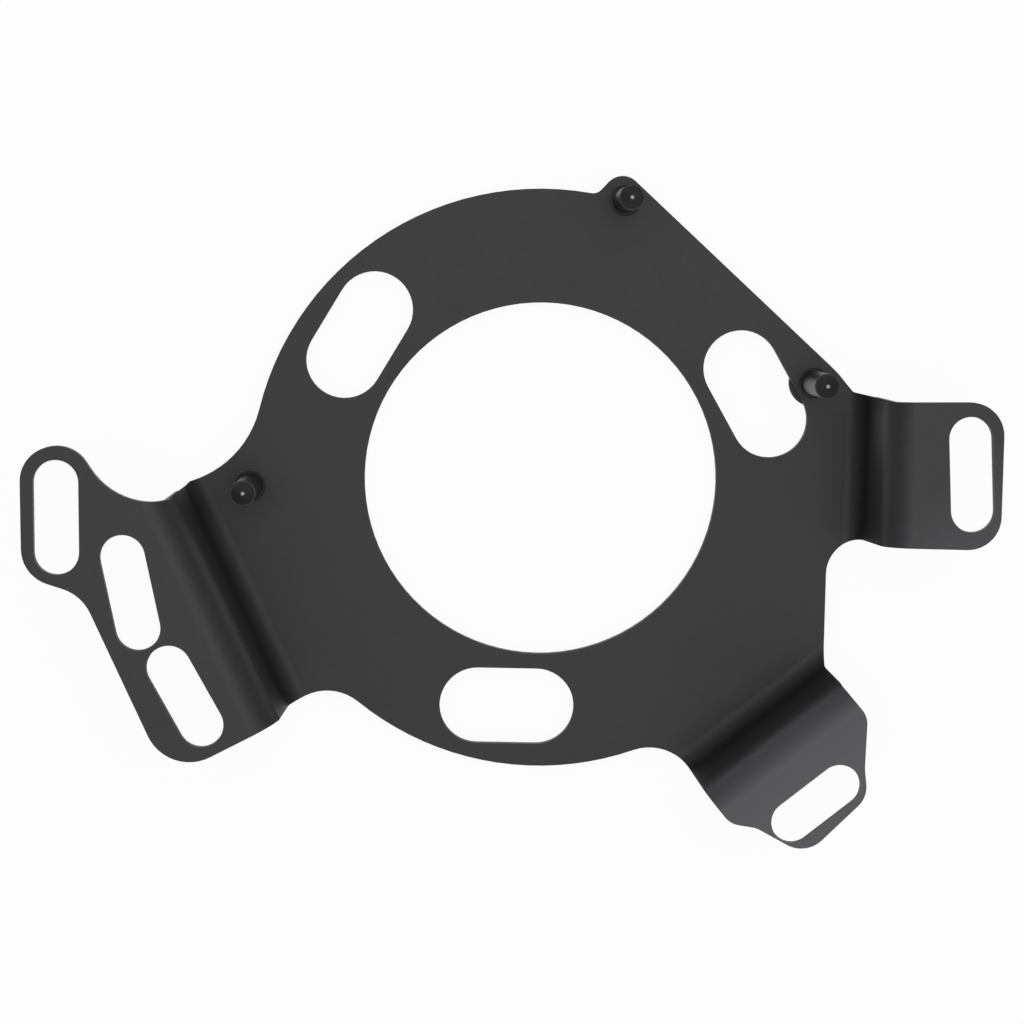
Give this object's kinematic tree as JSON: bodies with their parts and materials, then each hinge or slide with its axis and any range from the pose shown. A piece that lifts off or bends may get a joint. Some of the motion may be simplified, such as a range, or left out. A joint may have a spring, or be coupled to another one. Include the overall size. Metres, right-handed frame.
{
  "type": "pulley mounting bracket",
  "caption": "Black steel ring bracket with a large central hole, wide slots, raised slotted wings and long locating pins.",
  "frame": {"origin": "centre of the large hole at the plate's front face", "axes": "+Z along the hole's axis, from the plate towards the pins and the wings; +X from the hole's centre square to the right wing's bend"},
  "size_m": [0.2449, 0.1688, 0.05],
  "materials": {
    "coated_sheet": "satin black coating",
    "pin_steel": "smooth black oxide"
  },
  "bodies": {
    "root": {"bracket_plate": "coated_sheet", "upper_pin": "pin_steel", "right_pin": "pin_steel", "left_pin": "pin_steel"}
  },
  "joints": []
}
